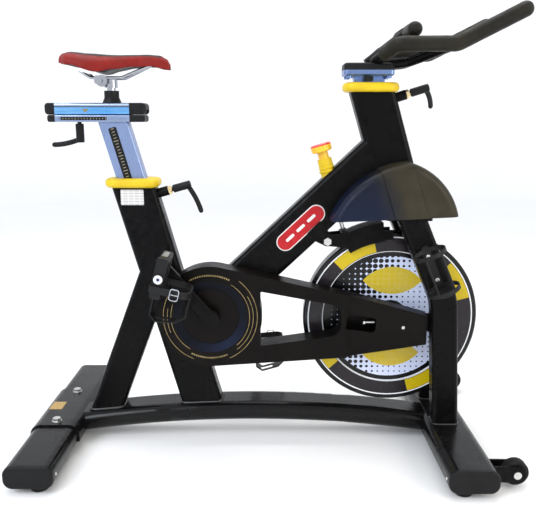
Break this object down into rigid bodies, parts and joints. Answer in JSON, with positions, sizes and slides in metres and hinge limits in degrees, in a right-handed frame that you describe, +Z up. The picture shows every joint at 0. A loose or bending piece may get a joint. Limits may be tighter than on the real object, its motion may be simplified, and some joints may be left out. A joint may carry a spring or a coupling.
{
  "type": "indoor cycling bike",
  "caption": "Indoor cycling bike with a heavy flywheel behind a fork, belt drive under a guard, sliding saddle, raised handlebar, push-down brake and transport wheels.",
  "frame": {"origin": "on the floor, halfway along the length and width of the footprint", "axes": "+X towards the front wheels, +Y to the rider's left, +Z up; the belt guard is on the right-hand side, -Y"},
  "size_m": [1.2055, 0.664, 1.0896],
  "materials": {
    "frame_paint": "satin powder coat",
    "black_plastic": "fine grained",
    "guard_plastic": "semi-gloss moulded",
    "rubber": "matte",
    "bolt_steel": "zinc plated",
    "bearing_steel": "ground",
    "lock_brass": "plated",
    "chrome": "polished",
    "aluminium": "brushed and anodised",
    "flywheel_paint": "gloss with printed faces",
    "pulley_black": "satin",
    "belt_rubber": "matte ribbed",
    "fender_plastic": "satin moulded",
    "yellow_plastic": "soft moulded",
    "knob_red": "moulded",
    "brake_steel": "satin",
    "magnet_steel": "nickel plated",
    "crank_black": "gloss",
    "saddle_leather": "stitched",
    "foam_grip": "foam",
    "cage_black": "moulded"
  },
  "bodies": {
    "frame": {"seat_tube": "frame_paint", "rear_strut": "frame_paint", "down_tube": "frame_paint", "head_tube": "frame_paint", "fork_leg_right": "frame_paint", "fork_leg_left": "frame_paint", "base_beam": "frame_paint", "rear_foot": "frame_paint", "front_foot": "frame_paint", "rear_foot_plate": "frame_paint", "foot_end_caps": "black_plastic", "rubber_pads": "rubber", "transport_brackets": "frame_paint", "bottom_bracket": "frame_paint", "bearings": "bearing_steel", "drive_belt": "belt_rubber", "flywheel_axle": "bolt_steel", "axle_dropouts": "frame_paint", "guard_outer": "guard_plastic", "guard_inner": "guard_plastic", "fender": "fender_plastic", "frame_lugs": "frame_paint", "frame_bolts": "bolt_steel", "knob_housing": "yellow_plastic", "tube_collars": "yellow_plastic", "lock_nuts": "lock_brass", "bottle_cage": "cage_black"},
    "flywheel": {"flywheel": "flywheel_paint", "driven_pulley": "pulley_black"},
    "cranks": {"crank_spindle": "bolt_steel", "drive_pulley": "pulley_black", "crank_right": "crank_black", "crank_left": "crank_black"},
    "pedal_right": {"pedal_right": "cage_black", "toe_cage_right": "cage_black"},
    "pedal_left": {"pedal_left": "cage_black", "toe_cage_left": "cage_black"},
    "wheel_right": {"transport_wheel_right": "rubber"},
    "wheel_left": {"transport_wheel_left": "rubber"},
    "brake_plunger": {"brake_rod": "bolt_steel"},
    "brake_knob": {"resistance_knob": "knob_red"},
    "brake_caliper": {"brake_caliper": "brake_steel", "brake_magnets": "magnet_steel"},
    "seat_post": {"seat_post": "aluminium", "slide_rail": "aluminium", "rail_end_caps": "black_plastic"},
    "seat_carriage": {"saddle_carriage": "aluminium", "carriage_end_caps": "black_plastic", "saddle_socket": "black_plastic", "saddle_pin": "chrome", "saddle_clamp": "chrome", "saddle_rails": "chrome", "saddle": "saddle_leather"},
    "slide_lever": {"slide_clamp_lever": "black_plastic"},
    "seat_lever": {"seat_clamp_lever": "black_plastic"},
    "handlebar": {"handlebar_post": "aluminium", "handlebar_mount": "black_plastic", "handlebar": "frame_paint", "handlebar_grips": "foam_grip"},
    "head_lever": {"head_clamp_lever": "black_plastic"}
  },
  "joints": [
    {"name": "flywheel_spin", "type": "hinge", "parent": "frame", "child": "flywheel", "pos_m": [0.31875, 0, 0.33], "axis": [0, 1, 0], "continuous": true},
    {"name": "crank_spin", "type": "hinge", "parent": "frame", "child": "cranks", "pos_m": [-0.14125, 0, 0.352], "axis": [0, 1, 0], "continuous": true},
    {"name": "pedal_right_spin", "type": "hinge", "parent": "cranks", "child": "pedal_right", "pos_m": [-0.24731, -0.161, 0.4784], "axis": [0, 1, 0], "continuous": true},
    {"name": "pedal_left_spin", "type": "hinge", "parent": "cranks", "child": "pedal_left", "pos_m": [-0.03519, 0.161, 0.2256], "axis": [0, 1, 0], "continuous": true},
    {"name": "wheel_right_spin", "type": "hinge", "parent": "frame", "child": "wheel_right", "pos_m": [0.57275, -0.27, 0.038], "axis": [0, 1, 0], "continuous": true},
    {"name": "wheel_left_spin", "type": "hinge", "parent": "frame", "child": "wheel_left", "pos_m": [0.57275, 0.27, 0.038], "axis": [0, 1, 0], "continuous": true},
    {"name": "plunger_slide", "type": "slide", "parent": "frame", "child": "brake_plunger", "axis": [0.2756, 0, -0.9613], "range_m": [0, 0.006], "stiffness_N_per_m": 2000, "springref_m": -0.008},
    {"name": "knob_turn", "type": "hinge", "parent": "brake_plunger", "child": "brake_knob", "pos_m": [0.15275, 0, 0.70337], "axis": [-0.2756, 0, 0.9613], "continuous": true},
    {"name": "caliper_swing", "type": "hinge", "parent": "frame", "child": "brake_caliper", "pos_m": [0.15175, 0, 0.53423], "axis": [0, 1, 0], "range_deg": [0, 7.3]},
    {"name": "seat_height", "type": "slide", "parent": "frame", "child": "seat_post", "axis": [-0.2689, 0, 0.9632], "range_m": [-0.1, 0.12]},
    {"name": "seat_fore_aft", "type": "slide", "parent": "seat_post", "child": "seat_carriage", "axis": [1, 0, 0], "range_m": [-0.05, 0.05]},
    {"name": "handlebar_height", "type": "slide", "parent": "frame", "child": "handlebar", "axis": [-0.2907, 0, 0.9568], "range_m": [0, 0.1]},
    {"name": "seat_lever_turn", "type": "hinge", "parent": "frame", "child": "seat_lever", "pos_m": [-0.27354, 0, 0.65212], "axis": [0.9632, 0, 0.2689], "range_deg": [-90, 90]},
    {"name": "head_lever_turn", "type": "hinge", "parent": "frame", "child": "head_lever", "pos_m": [0.3153, 0, 0.88626], "axis": [0.9568, 0, 0.2907], "range_deg": [-135, 40]},
    {"name": "slide_lever_turn", "type": "hinge", "parent": "seat_post", "child": "slide_lever", "pos_m": [-0.46365, 0, 0.828], "axis": [0, 0, -1], "range_deg": [-75, 75]}
  ],
  "couplings": [
    {"joint": "crank_spin", "follows": "flywheel_spin", "ratio": 0.25},
    {"joint": "caliper_swing", "follows": "plunger_slide", "rad_per_m": 21}
  ]
}
